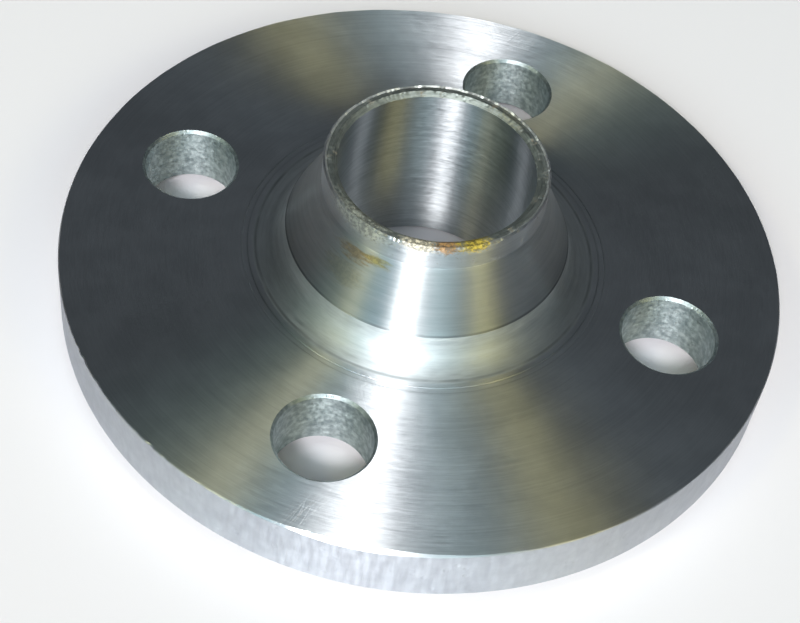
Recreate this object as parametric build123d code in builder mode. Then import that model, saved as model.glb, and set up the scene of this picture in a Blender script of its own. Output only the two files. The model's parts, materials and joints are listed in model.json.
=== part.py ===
from build123d import *
import os

# Weld-neck counter flange, turned from one steel forging and drilled for its bolts.
# All sizes are in millimetres. The origin is the centre of the sealing face, which
# the flange stands on, and +Z runs along the bore towards the pipe.

# Plate that the bolts clamp
flange_diameter = 140.0
plate_thickness = 12.7
rim_back_chamfer = 0.8
rim_front_chamfer = 0.6

# Raised sealing face, turned proud of the plate on the gasket side
sealing_face_diameter = 78.0
sealing_face_height = 2.0
sealing_face_chamfer = 0.3
sealing_step_radius = 0.6

# Bolt holes, drilled square through the plate and countersunk lightly on both sides
bolt_circle_diameter = 100.0
bolt_hole_diameter = 18.0
bolt_hole_count = 4
first_bolt_angle = 45.0
bolt_hole_back_chamfer = 0.8
bolt_hole_front_chamfer = 0.5

# Pipe end, a straight collar with a square-cut land for the butt weld
pipe_diameter = 42.4
pipe_wall = 2.6
collar_length = 5.4
collar_outer_chamfer = 0.35
land_inner_chamfer = 0.95

# Hub, from the foot fillet on the plate up to the collar
hub_foot_diameter = 54.5
foot_fillet_radius = 6.0
neck_height_above_plate = 23.3

# Tool run-out ring that the facing cut leaves round the foot of the hub
runout_ring_clearance = 1.0
runout_ring_width = 1.2
runout_ring_depth = 0.12

# Bore mouth on the gasket side
bore_front_chamfer = 0.5

# Radii and heights that follow from the sizes above
flange_radius = flange_diameter / 2
sealing_face_radius = sealing_face_diameter / 2
bolt_circle_radius = bolt_circle_diameter / 2
bolt_hole_radius = bolt_hole_diameter / 2
pipe_radius = pipe_diameter / 2
bore_radius = pipe_radius - pipe_wall
hub_foot_radius = hub_foot_diameter / 2
fillet_outer_radius = hub_foot_radius + foot_fillet_radius
plate_back = sealing_face_height + plate_thickness
fillet_top = plate_back + foot_fillet_radius
land_height = plate_back + neck_height_above_plate
collar_foot = land_height - collar_length
runout_ring_radius = fillet_outer_radius + runout_ring_clearance


def circles(part, radius, height):
    """Circular edges of one radius whose centres lie at one height."""
    rings = part.edges().filter_by(GeomType.CIRCLE)
    rings = rings.filter_by(lambda edge: abs(edge.radius - radius) < 0.001)
    return rings.filter_by(lambda edge: abs(edge.arc_center.Z - height) < 0.001)


with BuildPart() as weld_neck_flange:
    # Half section of the turned blank, from the bore out along the gasket side,
    # up the rim, back in over the plate and up the hub to the land
    with BuildSketch(Plane.XZ) as section:
        with BuildLine() as outline:
            gasket_side = Line((bore_radius, 0), (sealing_face_radius, 0))
            sealing_step = Line(gasket_side @ 1, (sealing_face_radius, sealing_face_height))
            plate_front_line = Line(sealing_step @ 1, (flange_radius, sealing_face_height))
            rim = Line(plate_front_line @ 1, (flange_radius, plate_back))
            plate_back_line = Line(rim @ 1, (fillet_outer_radius, plate_back))
            foot = CenterArc((fillet_outer_radius, fillet_top), foot_fillet_radius, 270, -90)
            cone = Line((hub_foot_radius, fillet_top), (pipe_radius, collar_foot))
            collar = Line(cone @ 1, (pipe_radius, land_height))
            land = Line(collar @ 1, (bore_radius, land_height))
            bore = Line(land @ 1, gasket_side @ 0)
        make_face()
    revolve(axis=Axis.Z)

    # Shallow ring left where the facing tool stops short of the foot fillet
    with BuildSketch(Plane.XY.offset(plate_back)) as runout_ring:
        Circle(runout_ring_radius + runout_ring_width)
        Circle(runout_ring_radius, mode=Mode.SUBTRACT)
    extrude(amount=-runout_ring_depth, mode=Mode.SUBTRACT)

    # Bolt holes, straddling the centre lines
    with Locations(Plane.XY.offset(plate_back)):
        with PolarLocations(bolt_circle_radius, bolt_hole_count, first_bolt_angle):
            Hole(bolt_hole_radius)

    # Edge breaks of the drilled holes
    chamfer(circles(weld_neck_flange, bolt_hole_radius, plate_back), bolt_hole_back_chamfer)
    chamfer(
        circles(weld_neck_flange, bolt_hole_radius, sealing_face_height),
        bolt_hole_front_chamfer,
    )

    # Edge breaks of the turned blank
    chamfer(circles(weld_neck_flange, flange_radius, plate_back), rim_back_chamfer)
    chamfer(circles(weld_neck_flange, flange_radius, sealing_face_height), rim_front_chamfer)
    chamfer(circles(weld_neck_flange, pipe_radius, land_height), collar_outer_chamfer)
    chamfer(circles(weld_neck_flange, bore_radius, land_height), land_inner_chamfer)
    chamfer(circles(weld_neck_flange, bore_radius, 0), bore_front_chamfer)
    chamfer(circles(weld_neck_flange, sealing_face_radius, 0), sealing_face_chamfer)
    fillet(
        circles(weld_neck_flange, sealing_face_radius, sealing_face_height),
        sealing_step_radius,
    )

weld_neck_flange.part.label = "weld_neck_flange"

os.makedirs("parts", exist_ok=True)
export_step(weld_neck_flange.part, "parts/weld_neck_flange.step")
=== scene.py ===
"""Dressed model of a turned steel weld neck counter flange, with its studio and camera."""

import json
import logging
import math
import random
from dataclasses import dataclass, field
from enum import Enum

import bmesh
import bpy
from mathutils import Matrix, Vector, noise


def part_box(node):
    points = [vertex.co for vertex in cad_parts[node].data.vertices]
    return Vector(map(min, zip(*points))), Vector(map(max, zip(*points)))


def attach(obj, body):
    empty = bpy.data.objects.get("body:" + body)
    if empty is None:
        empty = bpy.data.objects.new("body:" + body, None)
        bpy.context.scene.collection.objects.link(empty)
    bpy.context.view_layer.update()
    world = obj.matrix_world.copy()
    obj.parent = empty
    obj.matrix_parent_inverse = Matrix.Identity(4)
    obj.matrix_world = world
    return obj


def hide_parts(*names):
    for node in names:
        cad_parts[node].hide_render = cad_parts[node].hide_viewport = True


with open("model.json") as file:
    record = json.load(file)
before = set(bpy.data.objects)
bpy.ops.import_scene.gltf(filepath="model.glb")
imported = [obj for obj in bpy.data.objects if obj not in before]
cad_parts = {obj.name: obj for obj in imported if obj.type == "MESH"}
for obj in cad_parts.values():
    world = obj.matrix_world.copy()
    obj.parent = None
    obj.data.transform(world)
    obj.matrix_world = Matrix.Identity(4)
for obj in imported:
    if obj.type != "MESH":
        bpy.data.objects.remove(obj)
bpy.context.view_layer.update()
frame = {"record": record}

MM = 0.001
BODY = "root"
NODE = "weld_neck_flange"

log = logging.getLogger("flange")


class Surface(Enum):
    """The differently worked surfaces of the one forging, by material index."""

    SEALING = 0
    PLATE = 1
    RIM = 2
    FOOT = 3
    CONE = 4
    COLLAR = 5
    LAND = 6
    BURR = 7
    BORE = 8
    BOLT_HOLE = 9


@dataclass(frozen=True)
class FlangeSizes:
    """Sizes of the flange in metres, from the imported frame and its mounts."""

    rim_radius: float
    land_height: float
    plate_back: float
    bore_radius: float
    collar_radius: float
    bolt_circle_radius: float
    bolt_hole_radius: float
    bolt_count: int
    plate_front: float = 2.0 * MM
    sealing_radius: float = 39.0 * MM
    sealing_chamfer: float = 0.3 * MM
    sealing_step_radius: float = 0.6 * MM
    hub_foot_radius: float = 27.25 * MM
    foot_fillet: float = 6.0 * MM
    collar_length: float = 5.4 * MM
    collar_chamfer: float = 0.35 * MM
    land_chamfer: float = 0.95 * MM
    bore_chamfer: float = 0.5 * MM
    rim_back_chamfer: float = 0.8 * MM
    rim_front_chamfer: float = 0.6 * MM
    runout_clearance: float = 1.0 * MM
    runout_width: float = 1.2 * MM
    runout_depth: float = 0.12 * MM
    hole_back_chamfer: float = 0.55 * MM
    hole_front_chamfer: float = 0.5 * MM
    first_bolt_angle: float = math.radians(45)

    @classmethod
    def from_frame(cls) -> "FlangeSizes":
        """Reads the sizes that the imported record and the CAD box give.

        Returns:
            The flange's sizes in metres.
        """
        low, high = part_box(NODE)
        mounts = {mount["name"]: mount for mount in frame["record"]["mounts"]}
        bolts = mounts["bolt_holes"]["dims"]
        return cls(
            rim_radius=high.x,
            land_height=high.z,
            plate_back=mounts["nut_face"]["pos_m"][2],
            bore_radius=mounts["bore"]["dims"]["r_mm"] * MM,
            collar_radius=mounts["weld_collar"]["dims"]["r_mm"] * MM,
            bolt_circle_radius=bolts["pcd_mm"] * MM / 2,
            bolt_hole_radius=bolts["hole_r_mm"] * MM,
            bolt_count=bolts["count"],
        )

    @property
    def fillet_outer(self) -> float:
        """Radius at which the foot fillet runs out into the plate."""
        return self.hub_foot_radius + self.foot_fillet

    @property
    def fillet_top(self) -> float:
        """Height of the line where the foot fillet meets the cone."""
        return self.plate_back + self.foot_fillet

    @property
    def collar_foot(self) -> float:
        """Height of the line where the cone meets the collar."""
        return self.land_height - self.collar_length


@dataclass(frozen=True)
class Stretch:
    """A run of the half section that is worked in one way."""

    surface: Surface
    points: tuple


def spaced(start: tuple, end: tuple, pieces: int) -> tuple:
    """Divides a straight run of the half section.

    Args:
        start: Radius and height of its first point.
        end: Radius and height of its last point.
        pieces: Number of equal steps.

    Returns:
        The points of the run, both ends among them.
    """
    steps = [index / pieces for index in range(pieces + 1)]
    return tuple(
        (start[0] + (end[0] - start[0]) * step, start[1] + (end[1] - start[1]) * step)
        for step in steps
    )


@dataclass
class TurnedBody:
    """The forging's turned form, spun from its half section."""

    sizes: FlangeSizes
    steps_round: int = 768
    sectors: int = 16
    groove_pitch: float = 0.8 * MM
    groove_depth: float = 0.06 * MM
    groove_margin: float = 0.9 * MM
    fillet_steps: int = 16
    ridge_depth: float = 0.03 * MM
    line_depth: float = 0.22 * MM
    burr_height: float = 0.2 * MM
    burr_width: float = 0.35 * MM
    shoulder: float = 0.12 * MM

    def sealing_face(self) -> Stretch:
        """Gasket side from the bore out, with its concentric grooves."""
        s = self.sizes
        inner = s.bore_radius + s.bore_chamfer
        outer = s.sealing_radius - s.sealing_chamfer
        points = [(s.bore_radius, s.bore_chamfer), (inner, 0.0)]
        first = inner + self.groove_margin
        count = int((outer - self.groove_margin - first) / self.groove_pitch)
        for index in range(count):
            crest = first + index * self.groove_pitch
            points.append((crest, 0.0))
            points.append((crest + self.groove_pitch / 2, self.groove_depth))
        points.append((first + count * self.groove_pitch, 0.0))
        points.append((outer, 0.0))
        points.append((s.sealing_radius, s.sealing_chamfer))
        return Stretch(Surface.SEALING, tuple(points))

    def plate_front(self) -> Stretch:
        """Underside of the plate, from the sealing face's step to the rim."""
        s = self.sizes
        radius = s.sealing_step_radius
        centre = (s.sealing_radius + radius, s.plate_front - radius)
        arc = []
        for index in range(5):
            angle = math.pi - index * math.pi / 8
            arc.append(
                (centre[0] + radius * math.cos(angle), centre[1] + radius * math.sin(angle))
            )
        rim = (s.rim_radius - s.rim_front_chamfer, s.plate_front)
        middle = (s.rim_radius - 9.0 * MM, s.plate_front)
        return Stretch(Surface.PLATE, (*arc, middle, rim))

    def rim(self) -> list:
        """The rim with its two chamfers."""
        s = self.sizes
        front = (s.rim_radius, s.plate_front + s.rim_front_chamfer)
        back = (s.rim_radius, s.plate_back - s.rim_back_chamfer)
        start = (s.rim_radius - s.rim_front_chamfer, s.plate_front)
        end = (s.rim_radius - s.rim_back_chamfer, s.plate_back)
        return [
            Stretch(Surface.PLATE, (start, front)),
            Stretch(Surface.RIM, spaced(front, back, 14)),
            Stretch(Surface.PLATE, spaced(back, end, 3)),
        ]

    def plate_back(self) -> Stretch:
        """Bolting side of the plate, from the rim in to the foot of the hub."""
        s = self.sizes
        inner = s.fillet_outer + s.runout_clearance
        outer = inner + s.runout_width
        low = s.plate_back - s.runout_depth
        hole_in = s.bolt_circle_radius - s.bolt_hole_radius - 1.5 * MM
        hole_out = s.bolt_circle_radius + s.bolt_hole_radius + 1.5 * MM
        points = (
            (s.rim_radius - s.rim_back_chamfer, s.plate_back),
            (hole_out, s.plate_back),
            (hole_in, s.plate_back),
            (outer, s.plate_back),
            (outer - s.runout_depth, low),
            (inner + s.runout_depth, low),
            (inner, s.plate_back),
            (s.fillet_outer, s.plate_back),
        )
        return Stretch(Surface.PLATE, points)

    def foot(self) -> Stretch:
        """The quarter-round foot, with faint steps of the form tool."""
        s = self.sizes
        points = []
        for index in range(self.fillet_steps + 1):
            angle = math.pi * (1.5 - 0.5 * index / self.fillet_steps)
            reach = s.foot_fillet - self.ridge_depth * (index % 2)
            points.append(
                (
                    s.fillet_outer + reach * math.cos(angle),
                    s.fillet_top + reach * math.sin(angle),
                )
            )
        points[-1] = (s.hub_foot_radius + self.line_depth * 0.4, s.fillet_top - self.line_depth)
        return Stretch(Surface.FOOT, tuple(points))

    def cone(self) -> Stretch:
        """The straight cone, above the sharp line that it starts from."""
        s = self.sizes
        lip = (s.hub_foot_radius + self.line_depth * 0.4, s.fillet_top - self.line_depth)
        start = (s.hub_foot_radius - self.line_depth * 0.5, s.fillet_top)
        end = (s.collar_radius + self.shoulder, s.collar_foot)
        return Stretch(Surface.CONE, (lip, *spaced(start, end, 6)))

    def collar(self) -> Stretch:
        """The straight collar that the pipe is welded to."""
        s = self.sizes
        foot = (s.collar_radius + self.shoulder, s.collar_foot)
        start = (s.collar_radius, s.collar_foot + self.shoulder)
        end = (s.collar_radius, s.land_height - s.collar_chamfer)
        return Stretch(Surface.COLLAR, (foot, *spaced(start, end, 5)))

    def land(self) -> list:
        """The square-cut end of the collar, with a thin burr along its outer edge."""
        s = self.sizes
        floor = s.land_height - self.burr_height
        crest = (s.collar_radius - s.collar_chamfer, s.land_height)
        outer = (crest[0] - self.burr_width, floor)
        inner = (s.bore_radius + s.land_chamfer, floor)
        bore = (s.bore_radius, s.land_height - s.land_chamfer)
        return [
            Stretch(Surface.COLLAR, ((s.collar_radius, s.land_height - s.collar_chamfer), crest)),
            Stretch(Surface.BURR, (crest, outer)),
            Stretch(Surface.LAND, (*spaced(outer, inner, 5), *spaced(inner, bore, 3)[1:])),
        ]

    def bore(self) -> Stretch:
        """The bore, from the land down to the gasket side."""
        s = self.sizes
        top = (s.bore_radius, s.land_height - s.land_chamfer)
        return Stretch(Surface.BORE, spaced(top, (s.bore_radius, s.bore_chamfer), 3))

    def stretches(self) -> list:
        """All runs of the half section, in order from the bore round to the bore."""
        return [
            self.sealing_face(),
            self.plate_front(),
            *self.rim(),
            self.plate_back(),
            self.foot(),
            self.cone(),
            self.collar(),
            *self.land(),
            self.bore(),
        ]

    def spin(self) -> bmesh.types.BMesh:
        """Spins the half section into a closed body with a material index per surface.

        Returns:
            The turned body.
        """
        ring, owners = [], []
        for stretch in self.stretches():
            for start, end in zip(stretch.points, stretch.points[1:]):
                if not ring or math.dist(ring[-1], start) > 1e-7:
                    ring.append(start)
                owners.append((start, end, stretch.surface))
                ring.append(end)
        ring.pop()
        body = bmesh.new()
        verts = [body.verts.new((radius, 0.0, height)) for radius, height in ring]
        edges = [
            body.edges.new((vert, verts[(index + 1) % len(verts)]))
            for index, vert in enumerate(verts)
        ]
        axis = {"cent": (0, 0, 0), "axis": (0, 0, 1)}
        sector = math.tau / self.sectors
        steps = self.steps_round // self.sectors
        bmesh.ops.spin(body, geom=[*verts, *edges], angle=sector, steps=steps, **axis)
        bmesh.ops.spin(
            body,
            geom=[*body.verts, *body.edges, *body.faces],
            angle=math.tau - sector,
            steps=self.sectors - 1,
            use_duplicate=True,
            **axis,
        )
        bmesh.ops.remove_doubles(body, verts=body.verts[:], dist=1e-6)
        bmesh.ops.recalc_face_normals(body, faces=body.faces[:])
        self.name_surfaces(body, owners)
        return body

    def name_surfaces(self, body: bmesh.types.BMesh, owners: list) -> None:
        """Gives each face the material index of the run that it was spun from.

        Args:
            body: The spun body.
            owners: Start, end and surface of each step of the half section.
        """
        known = {}
        for face in body.faces:
            centre = face.calc_center_median()
            place = (round(math.hypot(centre.x, centre.y), 6), round(centre.z, 6))
            if place not in known:
                known[place] = min(
                    owners,
                    key=lambda owner: math.dist(
                        place,
                        ((owner[0][0] + owner[1][0]) / 2, (owner[0][1] + owner[1][1]) / 2),
                    ),
                )[2].value
            face.material_index = known[place]
            face.smooth = True


@dataclass(frozen=True)
class Nick:
    """A knock on the rim's upper edge."""

    angle: float
    reach: float
    depth: float


@dataclass
class Wear:
    """Ragged weld end, uneven edge breaks and knocks of the handled forging."""

    sizes: FlangeSizes
    view_azimuth: float
    land_roughness: float = 0.1 * MM
    collar_roughness: float = 0.04 * MM
    edge_share: float = 0.22
    broad_edge_angle: float = math.radians(-93)
    broad_edge_reach: float = math.radians(11)
    seed: int = 11
    nick_count: int = 26

    def nicks(self) -> list:
        """Knocks on the front left of the rim's edge, where the photograph shows them.

        Returns:
            The knocks.
        """
        chance = random.Random(self.seed)
        found = []
        for _ in range(self.nick_count):
            turn = math.radians(chance.uniform(-150, -100)) + self.view_azimuth
            found.append(Nick(turn, chance.uniform(0.3, 0.9) * MM, chance.uniform(0.04, 0.15) * MM))
        return found

    def apply(self, body: bmesh.types.BMesh) -> None:
        """Moves the vertices of the worn places.

        Args:
            body: The turned body, before it is drilled.
        """
        s = self.sizes
        for vert in body.verts:
            radius = math.hypot(vert.co.x, vert.co.y)
            if vert.co.z > s.collar_foot + 0.5 * MM:
                self.roughen_end(vert, radius)
            elif radius > s.rim_radius - 1.0 * MM and vert.co.z > s.plate_front + 2.0 * MM:
                self.wear_rim(vert, radius)

    def roughen_end(self, vert: bmesh.types.BMVert, radius: float) -> None:
        """Makes one vertex of the land or the collar uneven."""
        s = self.sizes
        place = vert.co / MM
        near_top = max(0.0, 1 - (s.land_height - vert.co.z) / (1.6 * MM))
        if near_top <= 0:
            return
        rough = self.collar_roughness + (self.land_roughness - self.collar_roughness) * near_top
        coarse = noise.noise(place * 0.55)
        fine = noise.noise(place * 1.9 + Vector((7, 3, 1)))
        sunk = min(0.0, coarse * 1.3 + fine * 0.9 - 0.25) * rough * 1.6
        vert.co.z += sunk * near_top
        away = Vector((vert.co.x, vert.co.y, 0)) / radius
        inward = -1.0 if radius > (s.collar_radius + s.bore_radius) / 2 else 0.6
        push = abs(noise.noise(place * 1.2 + Vector((2, 9, 4))))
        vert.co += away * inward * push * rough * near_top

    def wear_rim(self, vert: bmesh.types.BMVert, radius: float) -> None:
        """Narrows the rim's upper edge break unevenly and sinks the knocks."""
        s = self.sizes
        angle = math.atan2(vert.co.y, vert.co.x)
        away = Vector((vert.co.x, vert.co.y, 0)) / radius
        below = (s.plate_back - vert.co.z) / s.rim_back_chamfer
        if below < 1.01:
            turn = angle - self.view_azimuth - self.broad_edge_angle
            turn = math.remainder(turn, math.tau)
            broad = math.exp(-((turn / self.broad_edge_reach) ** 2))
            ragged = noise.noise(vert.co / MM * 0.16) * 0.12
            share = min(1.0, self.edge_share + (1 - self.edge_share) * broad + ragged)
            flat = 1 - share
            across = (s.rim_radius - radius) / s.rim_back_chamfer
            vert.co += away * flat * across * s.rim_back_chamfer
            vert.co.z += flat * min(1.0, below) * s.rim_back_chamfer
        for nick in self.rim_nicks:
            turn = math.remainder(angle - nick.angle, math.tau)
            gap = math.hypot(turn * radius, (s.plate_back - vert.co.z) * 1.3) / nick.reach
            if gap < 1:
                vert.co -= away * nick.depth * (1 - gap * gap)

    def __post_init__(self) -> None:
        """Draws the knocks once."""
        self.rim_nicks = self.nicks()


@dataclass
class BoltHoles:
    """Cutters for the drilled and lightly countersunk bolt holes."""

    sizes: FlangeSizes
    steps_round: int = 96
    overshoot: float = 1.0 * MM
    wall_steps: int = 8

    def cutter(self) -> bmesh.types.BMesh:
        """All the drills as one mesh, each flared at both faces of the plate.

        Returns:
            The cutters, in place.
        """
        s = self.sizes
        radius, over = s.bolt_hole_radius, self.overshoot
        wall = spaced(
            (radius, s.plate_front + s.hole_front_chamfer),
            (radius, s.plate_back - s.hole_back_chamfer),
            self.wall_steps,
        )
        outline = [
            (0.0, s.plate_front - over),
            (radius + s.hole_front_chamfer + over, s.plate_front - over),
            *wall,
            (radius + s.hole_back_chamfer + over, s.plate_back + over),
            (0.0, s.plate_back + over),
        ]
        drills = bmesh.new()
        for index in range(s.bolt_count):
            angle = s.first_bolt_angle + index * math.tau / s.bolt_count
            centre = Vector((math.cos(angle), math.sin(angle), 0)) * s.bolt_circle_radius
            verts = [drills.verts.new((r, 0.0, z)) for r, z in outline]
            edges = [drills.edges.new(pair) for pair in zip(verts, verts[1:])]
            bmesh.ops.translate(drills, verts=verts, vec=centre)
            bmesh.ops.spin(
                drills,
                geom=[*verts, *edges],
                cent=centre,
                axis=(0, 0, 1),
                angle=math.tau,
                steps=self.steps_round,
                use_merge=True,
            )
        bmesh.ops.remove_doubles(drills, verts=drills.verts[:], dist=1e-6)
        bmesh.ops.recalc_face_normals(drills, faces=drills.faces[:])
        for face in drills.faces:
            face.smooth = True
        return drills


class NodeSheet:
    """A node tree with short calls that add, set and link nodes."""

    def __init__(self, tree: bpy.types.NodeTree) -> None:
        """Takes the tree that the calls write in."""
        self.tree = tree

    def add(self, kind: str, **settings: object) -> bpy.types.Node:
        """Adds a node.

        Args:
            kind: The node's type name.
            settings: Properties of the node to set.

        Returns:
            The new node.
        """
        node = self.tree.nodes.new(kind)
        for name, value in settings.items():
            setattr(node, name, value)
        return node

    def feed(self, socket: bpy.types.NodeSocket, value: object) -> None:
        """Links a socket to another one, or sets it to a plain value."""
        if isinstance(value, bpy.types.NodeSocket):
            self.tree.links.new(value, socket)
        elif value is not None:
            socket.default_value = value

    def math(self, operation: str, *values: object, clamp: bool = False) -> bpy.types.NodeSocket:
        """Adds a Math node and returns its result."""
        node = self.add("ShaderNodeMath", operation=operation, use_clamp=clamp)
        for socket, value in zip(node.inputs, values):
            self.feed(socket, value)
        return node.outputs[0]

    def vector(self, operation: str, *values: object) -> bpy.types.NodeSocket:
        """Adds a Vector Math node and returns its vector."""
        node = self.add("ShaderNodeVectorMath", operation=operation)
        for socket, value in zip(node.inputs, values):
            self.feed(socket, value)
        return node.outputs["Value" if operation in ("LENGTH", "DOT_PRODUCT") else "Vector"]

    def noise(self, vector: object, scale: object, detail: float, w: object = None,
              rough: float = 0.5) -> bpy.types.NodeSocket:
        """Adds a Noise Texture, in four dimensions where w is given, and returns its value."""
        node = self.add("ShaderNodeTexNoise", noise_dimensions="3D" if w is None else "4D")
        self.feed(node.inputs["Vector"], vector)
        self.feed(node.inputs["Scale"], scale)
        node.inputs["Detail"].default_value = detail
        node.inputs["Roughness"].default_value = rough
        if w is not None:
            self.feed(node.inputs["W"], w)
        return node.outputs["Fac"]

    def spread(self, value: object, low: float, high: float, out_low: float = 0.0,
               out_high: float = 1.0) -> bpy.types.NodeSocket:
        """Adds a smooth Map Range node and returns its result."""
        node = self.add("ShaderNodeMapRange", interpolation_type="SMOOTHSTEP")
        for name, part in (("Value", value), ("From Min", low), ("From Max", high),
                           ("To Min", out_low), ("To Max", out_high)):
            self.feed(node.inputs[name], part)
        return node.outputs["Result"]

    def blend(self, share: object, first: object, second: object) -> bpy.types.NodeSocket:
        """Adds a colour Mix node and returns its colour."""
        node = self.add("ShaderNodeMix", data_type="RGBA")
        self.feed(node.inputs["Factor"], share)
        self.feed(node.inputs["A"], first)
        self.feed(node.inputs["B"], second)
        return next(s for s in node.outputs if s.type == "RGBA")

    def group(self, tree: bpy.types.NodeTree, **values: object) -> bpy.types.Node:
        """Places a node group, with its inputs set or linked by name."""
        node = self.add("ShaderNodeGroup", node_tree=tree)
        for name, value in values.items():
            self.feed(node.inputs[name.replace("_", " ")], value)
        return node


def new_group(name: str, inputs: dict, outputs: tuple) -> tuple:
    """Starts a shader node group with named sockets.

    Args:
        name: The group's name.
        inputs: Socket type and default value by socket name.
        outputs: Names of the group's value outputs.

    Returns:
        The group's tree, its sheet, its input node and its output node.
    """
    tree = bpy.data.node_groups.new(name, "ShaderNodeTree")
    for label, (kind, value) in inputs.items():
        socket = tree.interface.new_socket(label, in_out="INPUT", socket_type=kind)
        if value is not None:
            socket.default_value = value
    for label in outputs:
        tree.interface.new_socket(label, in_out="OUTPUT", socket_type="NodeSocketFloat")
    sheet = NodeSheet(tree)
    return tree, sheet, sheet.add("NodeGroupInput"), sheet.add("NodeGroupOutput")


VECTOR_INPUT = ("NodeSocketVector", None)


def number(value: float) -> tuple:
    """Socket type and default of a plain number input."""
    return ("NodeSocketFloat", value)


class SteelEffects:
    """Node groups that the steel finishes share."""

    def __init__(self) -> None:
        """Builds every group once."""
        self.polar = self.build_polar()
        self.turning = self.build_turning()
        self.mottle = self.build_mottle()
        self.patch = self.build_patch()
        # Painted shade lines, for the creases and grooves of the turned body.
        self.line = self.build_shade_line()
        self.scratches = self.build_scratches()
        self.pits = self.build_pits()

    def build_polar(self) -> bpy.types.NodeTree:
        """Radius, angle and height of a point about the flange's axis."""
        tree, sheet, given, result = new_group(
            "polar_place", {"Vector": VECTOR_INPUT}, ("Radius", "Angle", "Height")
        )
        parts = sheet.add("ShaderNodeSeparateXYZ")
        sheet.feed(parts.inputs[0], given.outputs["Vector"])
        flat = sheet.vector("MULTIPLY", given.outputs["Vector"], (1, 1, 0))
        sheet.feed(result.inputs["Radius"], sheet.vector("LENGTH", flat))
        sheet.feed(
            result.inputs["Angle"], sheet.math("ARCTAN2", parts.outputs["Y"], parts.outputs["X"])
        )
        sheet.feed(result.inputs["Height"], parts.outputs["Z"])
        return tree

    def build_turning(self) -> bpy.types.NodeTree:
        """Tool marks that run round the axis: broad bands and short fine strokes."""
        tree, sheet, given, result = new_group(
            "turning_marks",
            {
                "Vector": VECTOR_INPUT,
                "Marks per metre": number(3000),
                "Band waves": number(1.2),
                "Stroke waves": number(8.0),
            },
            ("Strokes", "Bands"),
        )
        place = sheet.group(self.polar, Vector=given.outputs["Vector"])
        cosine = sheet.math("COSINE", place.outputs["Angle"])
        sine = sheet.math("SINE", place.outputs["Angle"])
        rate = given.outputs["Marks per metre"]
        for label, waves, share, detail in (
            ("Bands", "Band waves", 0.3, 3.0),
            ("Strokes", "Stroke waves", 1.0, 4.0),
        ):
            across = sheet.math("MULTIPLY", rate, share)
            ring = sheet.add("ShaderNodeCombineXYZ")
            sheet.feed(ring.inputs["X"], sheet.math("MULTIPLY", place.outputs["Radius"], across))
            sheet.feed(ring.inputs["Y"], sheet.math("MULTIPLY", place.outputs["Height"], across))
            wave = given.outputs[waves]
            sheet.feed(ring.inputs["Z"], sheet.math("MULTIPLY", cosine, wave))
            around = sheet.math("MULTIPLY", sine, wave)
            sheet.feed(result.inputs[label], sheet.noise(ring.outputs[0], 1.0, detail, w=around))
        return tree

    def build_mottle(self) -> bpy.types.NodeTree:
        """Uneven patches, as handling and storage leave them."""
        tree, sheet, given, result = new_group(
            "mottle", {"Vector": VECTOR_INPUT, "Scale": number(60)}, ("Value",)
        )
        value = sheet.noise(given.outputs["Vector"], given.outputs["Scale"], 4.0)
        sheet.feed(result.inputs["Value"], sheet.spread(value, 0.35, 0.68))
        return tree

    def build_patch(self) -> bpy.types.NodeTree:
        """A ragged patch at one angle and height on the turned body."""
        tree, sheet, given, result = new_group(
            "ragged_patch",
            {
                "Vector": VECTOR_INPUT,
                "Angle": number(0),
                "Height": number(0.03),
                "Reach round": number(0.2),
                "Reach up": number(0.001),
                "Waves": number(9.0),
            },
            ("Mask",),
        )
        place = sheet.group(self.polar, Vector=given.outputs["Vector"])
        turn = sheet.math("SUBTRACT", place.outputs["Angle"], given.outputs["Angle"])
        turn = sheet.math("WRAP", turn, math.pi, -math.pi)
        turn = sheet.math("DIVIDE", turn, given.outputs["Reach round"])
        lift = sheet.math("SUBTRACT", place.outputs["Height"], given.outputs["Height"])
        lift = sheet.math("DIVIDE", lift, given.outputs["Reach up"])
        distance = sheet.math(
            "SQRT", sheet.math("ADD", sheet.math("POWER", turn, 2.0), sheet.math("POWER", lift, 2.0))
        )
        grain = sheet.add("ShaderNodeCombineXYZ")
        around = sheet.math("MULTIPLY", place.outputs["Angle"], given.outputs["Waves"])
        sheet.feed(grain.inputs["X"], around)
        sheet.feed(grain.inputs["Y"], sheet.math("MULTIPLY", place.outputs["Height"], 1800.0))
        sheet.feed(grain.inputs["Z"], sheet.math("MULTIPLY", place.outputs["Radius"], 1800.0))
        ragged = sheet.noise(grain.outputs[0], 1.0, 5.0, rough=0.6)
        distance = sheet.math("ADD", distance, sheet.math("MULTIPLY_ADD", ragged, 1.8, -0.9))
        sheet.feed(result.inputs["Mask"], sheet.spread(distance, 1.0, 0.35))
        return tree

    def build_shade_line(self) -> bpy.types.NodeTree:
        """A painted shade line: a fine dark line round the axis, in a crease or groove where shade
        falls, faint in places.
        """
        tree, sheet, given, result = new_group(
            "ring_line",
            {
                "Vector": VECTOR_INPUT,
                "Radius": number(0.03),
                "Height": number(0.02),
                "Width": number(0.0003),
                "Strength": number(0.5),
            },
            ("Mask",),
        )
        place = sheet.group(self.polar, Vector=given.outputs["Vector"])
        gap = sheet.add("ShaderNodeCombineXYZ")
        for axis, name in (("X", "Radius"), ("Y", "Height")):
            off = sheet.math("SUBTRACT", place.outputs[name], given.outputs[name])
            sheet.feed(gap.inputs[axis], off)
        distance = sheet.vector("LENGTH", gap.outputs[0])
        inside = sheet.spread(sheet.math("DIVIDE", distance, given.outputs["Width"]), 1.0, 0.1)
        faint = sheet.spread(sheet.noise(given.outputs["Vector"], 130.0, 2.0), 0.3, 0.6)
        inside = sheet.math("MULTIPLY", inside, sheet.math("MULTIPLY_ADD", faint, 0.7, 0.3))
        sheet.feed(result.inputs["Mask"], sheet.math("MULTIPLY", inside, given.outputs["Strength"]))
        return tree

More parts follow.
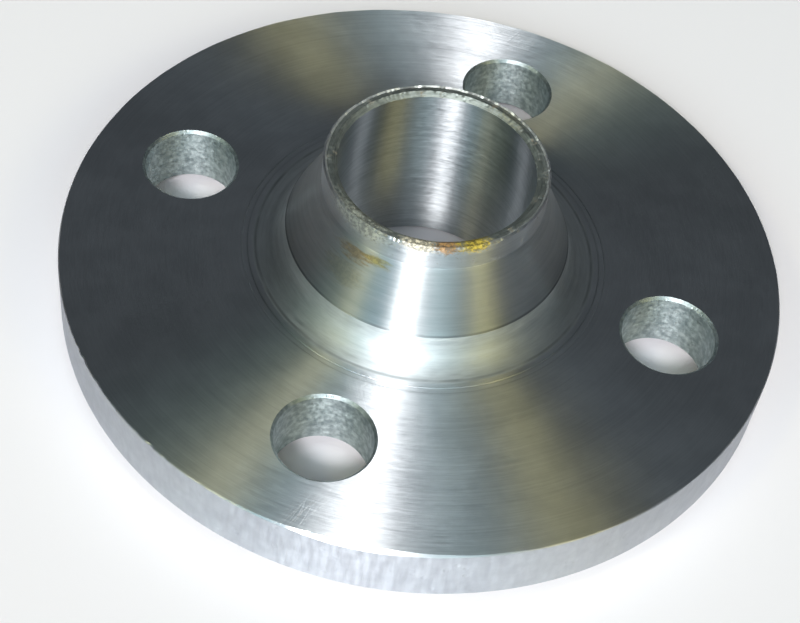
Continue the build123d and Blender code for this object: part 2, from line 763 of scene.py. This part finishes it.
    def build_scratches(self) -> bpy.types.NodeTree:
        """Short straight scratches that lie in all directions."""
        tree, sheet, given, result = new_group(
            "scratches", {"Vector": VECTOR_INPUT, "Scale": number(90)}, ("Value",)
        )
        found = None
        for turn, stretch in ((0.4, 14.0), (1.7, 18.0), (2.6, 12.0)):
            node = sheet.add("ShaderNodeVectorRotate", rotation_type="Z_AXIS")
            sheet.feed(node.inputs["Vector"], given.outputs["Vector"])
            node.inputs["Angle"].default_value = turn
            long = sheet.vector("MULTIPLY", node.outputs[0], (1.0, stretch, stretch))
            cells = sheet.add("ShaderNodeTexVoronoi", feature="DISTANCE_TO_EDGE")
            sheet.feed(cells.inputs["Vector"], long)
            sheet.feed(cells.inputs["Scale"], given.outputs["Scale"])
            line = sheet.spread(cells.outputs["Distance"], 0.035, 0.0)
            where = sheet.noise(given.outputs["Vector"], 45.0 + 10 * turn, 1.0)
            line = sheet.math("MULTIPLY", line, sheet.spread(where, 0.55, 0.7))
            found = line if found is None else sheet.math("MAXIMUM", found, line)
        sheet.feed(result.inputs["Value"], found)
        return tree

    def build_pits(self) -> bpy.types.NodeTree:
        """Small round pits and nicks, unevenly strewn."""
        tree, sheet, given, result = new_group(
            "pits", {"Vector": VECTOR_INPUT, "Scale": number(700), "Share": number(0.5)}, ("Value",)
        )
        cells = sheet.add("ShaderNodeTexVoronoi", feature="F1")
        sheet.feed(cells.inputs["Vector"], given.outputs["Vector"])
        sheet.feed(cells.inputs["Scale"], given.outputs["Scale"])
        dot = sheet.spread(cells.outputs["Distance"], 0.42, 0.12)
        chance = sheet.add("ShaderNodeSeparateColor")
        sheet.feed(chance.inputs[0], cells.outputs["Color"])
        chosen = sheet.math("LESS_THAN", chance.outputs[0], given.outputs["Share"])
        sheet.feed(result.inputs["Value"], sheet.math("MULTIPLY", dot, chosen))
        return tree


@dataclass(frozen=True)
class Stain:
    """One coloured patch on the weld end, placed by angle and height."""

    angle: float
    height: float
    reach_round: float
    reach_up: float
    colour: tuple
    strength: float = 0.9
    crust: float = 0.75
    flecks: float = 0.6
    waves: float = 30.0

    def shade(self, level: float) -> tuple:
        """The stain's colour, darkened or lightened to a level."""
        return (*(part * level for part in self.colour), 1)


@dataclass(frozen=True)
class SteelFinish:
    """How one surface of the forging is worked and worn."""

    name: str
    surface: Surface
    light: tuple = (0.69, 0.71, 0.73)
    dark: tuple = (0.45, 0.475, 0.49)
    roughness: float = 0.42
    roughness_swing: float = 0.07
    anisotropy: float = 1.0
    marks_per_metre: float = 6000.0
    band_waves: float = 1.2
    stroke_waves: float = 13.0
    mark_depth: float = 0.010 * MM
    scratch_depth: float = 0.0
    pit_depth: float = 0.0
    pit_scale: float = 700.0
    pit_share: float = 0.4
    stains: tuple = ()
    # Painted shade: fine dark lines in creases and grooves, each as radius, height, width and
    # strength.
    lines: tuple = ()
    rust: float = 0.0
    patches: float = 0.2
    patch_scale: float = 55.0
    drilled_at: float = 0.0

    def material(self, effects: SteelEffects) -> bpy.types.Material:
        """Builds the finish as a procedural metal.

        Args:
            effects: The shared node groups.

        Returns:
            The new material.
        """
        material = bpy.data.materials.new(self.name)
        material.use_nodes = True
        sheet = NodeSheet(material.node_tree)
        shader = material.node_tree.nodes["Principled BSDF"]
        point = sheet.add("ShaderNodeTexCoord").outputs["Object"]
        turned = self.about_tool_axis(sheet, point)
        turning = sheet.group(
            effects.turning,
            Vector=turned,
            Marks_per_metre=self.marks_per_metre,
            Band_waves=self.band_waves,
            Stroke_waves=self.stroke_waves,
        )
        strokes, bands = turning.outputs["Strokes"], turning.outputs["Bands"]
        mottle = sheet.group(effects.mottle, Vector=point, Scale=self.patch_scale).outputs["Value"]
        sharp = sheet.spread(strokes, 0.28, 0.72)
        tone = sheet.math("MULTIPLY_ADD", sharp, 0.32, 0.09)
        tone = sheet.math("ADD", tone, sheet.math("MULTIPLY_ADD", bands, 1.0, -0.35))
        uneven = sheet.math("MULTIPLY_ADD", mottle, self.patches, -self.patches / 2)
        tone = sheet.math("ADD", tone, uneven, clamp=True)
        colour = sheet.blend(tone, (*self.dark, 1), (*self.light, 1))
        rough = sheet.math("MULTIPLY_ADD", sharp, self.roughness_swing * 2,
                           self.roughness - self.roughness_swing)
        rough = sheet.math("ADD", rough, sheet.math("MULTIPLY_ADD", bands, 0.1, -0.05))
        # Paints shade into the creases and grooves as fine near-black lines over the metal's colour.
        for radius, height, width, strength in self.lines:
            line = sheet.group(
                effects.line, Vector=point, Radius=radius, Height=height, Width=width,
                Strength=strength
            ).outputs["Mask"]
            colour = sheet.blend(line, colour, (0.06, 0.07, 0.075, 1))
        colour, rough, metal = self.add_rust(sheet, effects, point, colour, rough)
        normal = self.add_bumps(sheet, effects, point, strokes)
        sheet.feed(shader.inputs["Base Color"], colour)
        sheet.feed(shader.inputs["Roughness"], rough)
        sheet.feed(shader.inputs["Metallic"], 1.0 if metal is None else metal)
        sheet.feed(shader.inputs["Normal"], normal)
        shader.inputs["Anisotropic"].default_value = self.anisotropy
        if self.anisotropy:
            across = sheet.vector("MULTIPLY", turned, (1, 1, 0))
            around = sheet.vector("NORMALIZE", sheet.vector("CROSS_PRODUCT", (0, 0, 1), across))
            sheet.feed(shader.inputs["Tangent"], around)
            shader.inputs["Anisotropic Rotation"].default_value = 0.25
        return material

    def about_tool_axis(self, sheet: NodeSheet, point: bpy.types.NodeSocket) -> object:
        """Moves the origin to the nearest drilled hole, for surfaces that a drill made.

        Args:
            sheet: The material's nodes.
            point: Object coordinates.

        Returns:
            Coordinates about the axis that the tool turned on.
        """
        if not self.drilled_at:
            return point
        side = sheet.vector("SIGN", point)
        centre = sheet.vector("MULTIPLY", side, (self.drilled_at, self.drilled_at, 0))
        return sheet.vector("SUBTRACT", point, centre)

    def add_rust(self, sheet: NodeSheet, effects: SteelEffects, point: bpy.types.NodeSocket,
                 colour: bpy.types.NodeSocket, rough: bpy.types.NodeSocket) -> tuple:
        """Lays the thin rust and the stains over the metal.

        Args:
            sheet: The material's nodes.
            effects: The shared node groups.
            point: Object coordinates.
            colour: The bare metal's colour.
            rough: The bare metal's roughness.

        Returns:
            Colour, roughness and metallic value.
        """
        cover = None
        if self.rust:
            bloom = sheet.noise(point, 420.0, 6.0, rough=0.68)
            edge = 0.62 - 0.22 * self.rust
            cover = sheet.math("MULTIPLY", sheet.spread(bloom, edge, edge + 0.14), 0.75)
            tint = sheet.blend(
                sheet.noise(point, 1500.0, 3.0), (0.05, 0.035, 0.022, 1), (0.36, 0.27, 0.16, 1)
            )
            colour = sheet.blend(cover, colour, tint)
        flecks = sheet.spread(sheet.noise(point, 1500.0, 4.0, rough=0.7), 0.42, 0.6)
        for stain in self.stains:
            mask = sheet.group(
                effects.patch,
                Vector=point,
                Angle=stain.angle,
                Height=stain.height,
                Reach_round=stain.reach_round,
                Reach_up=stain.reach_up,
                Waves=stain.waves,
            ).outputs["Mask"]
            mask = sheet.math("MULTIPLY", mask, stain.strength)
            low, high = stain.shade(1 - stain.flecks), stain.shade(1 + stain.flecks * 0.5)
            colour = sheet.blend(mask, colour, sheet.blend(flecks, low, high))
            dull = sheet.math("MULTIPLY", mask, stain.crust)
            cover = dull if cover is None else sheet.math("MAXIMUM", cover, dull)
        if cover is None:
            return colour, rough, None
        rough = sheet.math("ADD", rough, sheet.math("MULTIPLY", cover, 0.25), clamp=True)
        return colour, rough, sheet.math("SUBTRACT", 1.0, cover)

    def add_bumps(self, sheet: NodeSheet, effects: SteelEffects, point: bpy.types.NodeSocket,
                  marks: bpy.types.NodeSocket) -> bpy.types.NodeSocket:
        """Adds the tool marks, scratches and pits as bumps.

        Args:
            sheet: The material's nodes.
            effects: The shared node groups.
            point: Object coordinates.
            marks: Height of the tool marks.

        Returns:
            The bumped normal.
        """
        normal = None
        layers = [(marks, self.mark_depth, False)]
        if self.scratch_depth:
            lines = sheet.group(effects.scratches, Vector=point, Scale=95.0).outputs["Value"]
            layers.append((lines, self.scratch_depth, True))
        if self.pit_depth:
            holes = sheet.group(
                effects.pits, Vector=point, Scale=self.pit_scale, Share=self.pit_share
            ).outputs["Value"]
            layers.append((holes, self.pit_depth, True))
        for height, depth, inward in layers:
            bump = sheet.add("ShaderNodeBump", invert=inward)
            bump.inputs["Strength"].default_value = 1.0
            bump.inputs["Distance"].default_value = depth
            sheet.feed(bump.inputs["Height"], height)
            if normal is not None:
                sheet.feed(bump.inputs["Normal"], normal)
            normal = bump.outputs["Normal"]
        return normal


@dataclass
class Flange:
    """The whole part: turned, drilled, worn and finished."""

    sizes: FlangeSizes
    effects: SteelEffects
    view_azimuth: float
    finishes: list = field(default_factory=list)

    def build(self) -> bpy.types.Object:
        """Makes the piece that stands for the CAD node.

        Returns:
            The finished flange.
        """
        body = TurnedBody(self.sizes).spin()
        Wear(self.sizes, self.view_azimuth).apply(body)
        flange = self.shown("turned_flange", body)
        drills = self.shown("drills", BoltHoles(self.sizes).cutter())
        for finish in sorted(self.finishes, key=lambda one: one.surface.value):
            material = finish.material(self.effects)
            flange.data.materials.append(material)
            if finish.surface is Surface.BOLT_HOLE:
                drills.data.materials.append(material)
        cut = flange.modifiers.new("drilling", "BOOLEAN")
        cut.operation, cut.object, cut.solver = "DIFFERENCE", drills, "MANIFOLD"
        cut.material_mode = "TRANSFER"
        self.apply(flange)
        bpy.data.objects.remove(drills)
        flange.data.set_sharp_from_angle(angle=math.radians(25))
        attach(flange, BODY)
        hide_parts(NODE)
        return flange

    def shown(self, name: str, form: bmesh.types.BMesh) -> bpy.types.Object:
        """Writes a bmesh into a new object of the scene and frees it."""
        mesh = bpy.data.meshes.new(name)
        form.to_mesh(mesh)
        form.free()
        piece = bpy.data.objects.new(name, mesh)
        bpy.context.scene.collection.objects.link(piece)
        return piece

    def apply(self, piece: bpy.types.Object) -> None:
        """Writes a piece's modifiers into its mesh."""
        graph = bpy.context.evaluated_depsgraph_get()
        made = bpy.data.meshes.new_from_object(piece.evaluated_get(graph))
        piece.modifiers.clear()
        old, piece.data = piece.data, made
        bpy.data.meshes.remove(old)
        made.name = piece.name


@dataclass(frozen=True)
class PhotoView:
    """Where the photograph was taken from, about the flange's axis."""

    azimuth: float = math.radians(-30.46)
    elevation: float = math.radians(49.88)
    roll: float = math.radians(-8.82)
    distance: float = 345.9 * MM
    aim_across: float = -2.73 * MM
    aim_up: float = -4.89 * MM
    focal_pixels: float = 1728.7
    image_width: int = 800
    sensor_width: float = 36.0

    def turned(self, direction: tuple) -> Vector:
        """Turns a direction from the camera's azimuth into the flange's frame."""
        return Matrix.Rotation(self.azimuth, 3, "Z") @ Vector(direction)

    def camera(self, base: float) -> bpy.types.Object:
        """Sets up the scene's camera.

        Args:
            base: Height of the plate's gasket side, from which the view was measured.

        Returns:
            The camera.
        """
        rise, level = math.sin(self.elevation), math.cos(self.elevation)
        right = Vector((1, 0, 0))
        up = Vector((0, rise, level))
        back = Vector((0, -level, rise))
        place = right * self.aim_across + up * self.aim_up + back * self.distance
        tilt = Matrix.Rotation(-self.roll, 3, back)
        axes = [tilt @ right, tilt @ up, back]
        turn = Matrix.Rotation(self.azimuth, 3, "Z")
        data = bpy.data.cameras.new("photo_camera")
        data.sensor_width = self.sensor_width
        data.lens = self.focal_pixels * self.sensor_width / self.image_width
        data.clip_start, data.clip_end = 0.01, 20.0
        camera = bpy.data.objects.new("photo_camera", data)
        bpy.context.scene.collection.objects.link(camera)
        basis = Matrix([turn @ axis for axis in axes]).transposed()
        camera.matrix_world = Matrix.Translation(turn @ place + Vector((0, 0, base))) @ basis.to_4x4()
        bpy.context.scene.camera = camera
        return camera


@dataclass(frozen=True)
class Lamp:
    """An area lamp, placed by direction and distance from the flange."""

    name: str
    azimuth: float
    elevation: float
    distance: float
    size: tuple
    watts: float
    colour: tuple = (1.0, 1.0, 1.0)

    def place(self, view: PhotoView, centre: Vector) -> bpy.types.Object:
        """Hangs the lamp, facing the flange.

        Args:
            view: The photograph's view, whose azimuth the lamp's is counted from.
            centre: The point that the lamp faces.

        Returns:
            The lamp.
        """
        level = math.cos(self.elevation)
        away = view.turned(
            (
                math.cos(self.azimuth) * level,
                math.sin(self.azimuth) * level,
                math.sin(self.elevation),
            )
        )
        data = bpy.data.lights.new(self.name, "AREA")
        data.shape = "RECTANGLE"
        data.size, data.size_y = self.size
        data.energy = self.watts
        data.color = self.colour
        lamp = bpy.data.objects.new(self.name, data)
        bpy.context.scene.collection.objects.link(lamp)
        lamp.location = centre + away * self.distance
        lamp.rotation_mode = "QUATERNION"
        lamp.rotation_quaternion = away.to_track_quat("Z", "Y")
        return lamp


@dataclass(frozen=True)
class Glow:
    """A soft pool of light on the studio's dark walls, placed by direction."""

    azimuth: float
    elevation: float
    reach: float
    colour: tuple

    def strength(self, sheet: NodeSheet, view: PhotoView, toward: object) -> object:
        """Adds the glow's colour for a direction of the world.

        Args:
            sheet: The world's nodes.
            view: The photograph's view, whose azimuth the glow's is counted from.
            toward: Direction socket of the world shader.

        Returns:
            The glow's colour as a vector socket.
        """
        azimuth, elevation = math.radians(self.azimuth), math.radians(self.elevation)
        level = math.cos(elevation)
        axis = view.turned(
            (math.cos(azimuth) * level, math.sin(azimuth) * level, math.sin(elevation))
        )
        near = sheet.vector("DOT_PRODUCT", toward, tuple(axis))
        sharp = 1 / math.radians(self.reach) ** 2
        fall = sheet.math("EXPONENT", sheet.math("MULTIPLY_ADD", near, sharp, -sharp))
        scale = sheet.add("ShaderNodeVectorMath", operation="SCALE")
        scale.inputs[0].default_value = self.colour
        sheet.feed(scale.inputs["Scale"], fall)
        return scale.outputs["Vector"]


@dataclass
class Studio:
    """Plain pale floor under dim walls, with a lamp and soft pools of light."""

    view: PhotoView
    floor_reach: float = 4.0
    floor_colour: tuple = (0.885, 0.845, 0.875)
    walls: tuple = (0.022, 0.025, 0.028)
    level: float = 0.76
    lamps: tuple = (
        Lamp("key", math.radians(-98), math.radians(43), 2.4, (0.45, 0.3), 39.0),
        Lamp("warm", math.radians(-143), math.radians(50), 2.4, (0.3, 0.3), 3.9, (1.0, 0.86, 0.45)),
    )
    glows: tuple = (
        Glow(-94, 36, 8, (6.2, 5.1, 5.2)),
        Glow(-75, 36, 11, (3.3, 4.6, 4.9)),
        Glow(-118, 36, 11, (1.6, 2.8, 3.3)),
        Glow(-140, 36, 8, (1.2, 1.0, 0.4)),
        Glow(-150, 36, 11, (0.5, 0.85, 0.8)),
        Glow(-36, 36, 6, (7.0, 6.2, 2.4)),
        Glow(-50, 36, 11, (0.8, 0.85, 0.85)),
        Glow(-5, 36, 11, (0.37, 0.45, 0.50)),
        Glow(80, 36, 14, (0.17, 0.19, 0.20)),
        Glow(110, 36, 14, (0.08, 0.09, 0.105)),
    )

    def build(self) -> None:
        """Lays the floor, lights the world and hangs the lamps."""
        self.lay_floor()
        self.light_world()
        for lamp in self.lamps:
            lamp.place(self.view, Vector((0, 0, 0.015)))

    def lay_floor(self) -> None:
        """A wide pale floor under the sealing face."""
        form = bmesh.new()
        bmesh.ops.create_grid(form, x_segments=1, y_segments=1, size=self.floor_reach)
        mesh = bpy.data.meshes.new("floor")
        form.to_mesh(mesh)
        form.free()
        floor = bpy.data.objects.new("floor", mesh)
        bpy.context.scene.collection.objects.link(floor)
        material = bpy.data.materials.new("pale_floor")
        material.use_nodes = True
        shader = material.node_tree.nodes["Principled BSDF"]
        shader.inputs["Base Color"].default_value = (*self.floor_colour, 1)
        shader.inputs["Roughness"].default_value = 0.9
        shader.inputs["Specular IOR Level"].default_value = 0.0
        mesh.materials.append(material)

    def light_world(self) -> None:
        """Dim walls with soft pools of light."""
        world = bpy.data.worlds.new("studio")
        world.use_nodes = True
        bpy.context.scene.world = world
        sheet = NodeSheet(world.node_tree)
        toward = sheet.add("ShaderNodeTexCoord").outputs["Generated"]
        total = self.walls
        for glow in self.glows:
            total = sheet.vector("ADD", glow.strength(sheet, self.view, toward), total)
        background = world.node_tree.nodes["Background"]
        sheet.feed(background.inputs["Color"], total)
        background.inputs["Strength"].default_value = self.level


def steel_finishes(view: PhotoView, sizes: FlangeSizes) -> list:
    """The finishes of all surfaces, as the photograph shows them.

    Args:
        view: The photograph's view, which the stains' angles are counted from.
        sizes: The flange's sizes.

    Returns:
        One finish for each surface.
    """

    def stain(angle: float, height: float, round_mm: float, up_mm: float, colour: tuple,
              strength: float, crust: float = 0.75, **more: float) -> Stain:
        """Places a stain by its angle from the photograph and its reach in millimetres."""
        turn = math.remainder(math.radians(angle) + view.azimuth, math.tau)
        reach = round_mm * MM / sizes.collar_radius
        return Stain(turn, height, reach, up_mm * MM, colour, strength, crust, **more)

    gold, amber, cream = (0.56, 0.42, 0.05), (0.50, 0.25, 0.06), (0.80, 0.71, 0.54)
    grey = (0.44, 0.45, 0.38)
    top = sizes.land_height
    crust = (
        stain(-126, top - 1.0 * MM, 10.0, 2.8, grey, 0.7, 0.35),
        stain(-93, top, 5.0, 1.9, cream, 0.85),
        stain(-79, top, 3.2, 1.9, amber, 0.8),
        stain(-65, top, 4.5, 2.0, gold, 0.95),
        stain(50, top, 4.5, 2.0, (0.40, 0.36, 0.16), 0.3, 0.4),
    )
    smear = {"flecks": 0.3, "waves": 7.0}
    film = (
        stain(-113, sizes.collar_foot - 1.3 * MM, 3.5, 1.1, (0.38, 0.31, 0.08), 0.8, 0.2, **smear),
        stain(-124, sizes.collar_foot - 2.0 * MM, 5.0, 1.6, (0.34, 0.25, 0.13), 0.75, 0.1, **smear),
        stain(-126, sizes.collar_foot - 6.0 * MM, 5.0, 3.0, (0.40, 0.36, 0.24), 0.4, 0.0, **smear),
    )
    # Painted shade: dark lines in the crease where the foot meets the cone, in the corner where the
    # foot meets the plate and along both edges of the run-out groove.
    crease_shade_line = (sizes.hub_foot_radius, sizes.fillet_top, 0.34 * MM, 0.5)
    plate_corner_shade_line = (sizes.fillet_outer - 0.5 * MM, sizes.plate_back, 0.45 * MM, 0.4)
    runout = sizes.fillet_outer + sizes.runout_clearance
    runout_shade_lines = (
        (runout + 0.1 * MM, sizes.plate_back, 0.4 * MM, 0.22),
        (runout + sizes.runout_width, sizes.plate_back, 0.3 * MM, 0.18),
    )
    return [
        SteelFinish("grooved_sealing_face", Surface.SEALING),
        SteelFinish("faced_plate", Surface.PLATE, scratch_depth=0.006 * MM, lines=runout_shade_lines,
                    light=(0.84, 0.86, 0.88), dark=(0.64, 0.66, 0.68), roughness_swing=0.05,
                    mark_depth=0.007 * MM, marks_per_metre=8000.0, stroke_waves=22.0,
                    patches=0.4, patch_scale=130.0),
        SteelFinish(
            "rolled_rim", Surface.RIM, light=(0.68, 0.70, 0.75), dark=(0.46, 0.48, 0.53),
            roughness=0.52, anisotropy=0.75, stroke_waves=70.0, mark_depth=0.02 * MM,
            marks_per_metre=220.0, pit_depth=0.05 * MM, pit_scale=600.0, pit_share=0.25,
            patches=0.2, patch_scale=420.0,
        ),
        SteelFinish("form_turned_foot", Surface.FOOT, marks_per_metre=3500.0,
                    light=(0.84, 0.87, 0.88), dark=(0.55, 0.58, 0.59),
                    anisotropy=0.85, roughness=0.52, lines=(crease_shade_line, plate_corner_shade_line)),
        SteelFinish("turned_cone", Surface.CONE, marks_per_metre=4500.0, stroke_waves=8.0,
                    mark_depth=0.018 * MM, roughness_swing=0.1,
                    light=(0.62, 0.64, 0.65), dark=(0.38, 0.41, 0.42),
                    stains=film, lines=(crease_shade_line,)),
        SteelFinish("weld_collar", Surface.COLLAR, marks_per_metre=4000.0, mark_depth=0.015 * MM,
                    stroke_waves=8.0, rust=0.1, pit_depth=0.03 * MM, stains=crust),
        SteelFinish("cut_land", Surface.LAND, anisotropy=0.0, roughness=0.55, rust=0.3,
                    light=(0.57, 0.60, 0.57), dark=(0.16, 0.18, 0.17),
                    mark_depth=0.03 * MM, pit_depth=0.05 * MM, pit_scale=900.0, stains=crust),
        SteelFinish("burred_edge", Surface.BURR, anisotropy=0.0, roughness=0.5,
                    light=(0.94, 0.94, 0.94), dark=(0.82, 0.84, 0.82), stains=crust),
        SteelFinish("bored_wall", Surface.BORE, marks_per_metre=5000.0, stroke_waves=12.0,
                    roughness=0.44, light=(0.68, 0.70, 0.72), dark=(0.36, 0.38, 0.395)),
        SteelFinish("drilled_wall", Surface.BOLT_HOLE, marks_per_metre=1500.0, stroke_waves=14.0,
                    anisotropy=0.7, roughness=0.56, mark_depth=0.012 * MM, pit_depth=0.04 * MM,
                    patches=0.55, patch_scale=900.0,
                    pit_scale=1300.0, light=(0.70, 0.75, 0.75), dark=(0.35, 0.40, 0.41),
                    drilled_at=sizes.bolt_circle_radius * math.sqrt(0.5)),
    ]


def main() -> None:
    """Builds the flange, the studio and the camera in order."""
    logging.basicConfig(level=logging.INFO, format="%(name)s: %(message)s")
    bpy.context.scene.view_settings.view_transform = "Standard"
    sizes = FlangeSizes.from_frame()
    view = PhotoView()
    flange = Flange(sizes, SteelEffects(), view.azimuth, steel_finishes(view, sizes)).build()
    log.info("%s has %d faces", flange.name, len(flange.data.polygons))
    Studio(view).build()
    log.info("studio is lit")
    view.camera(sizes.plate_front)
    log.info("camera is set")


if __name__ == "__main__":
    main()
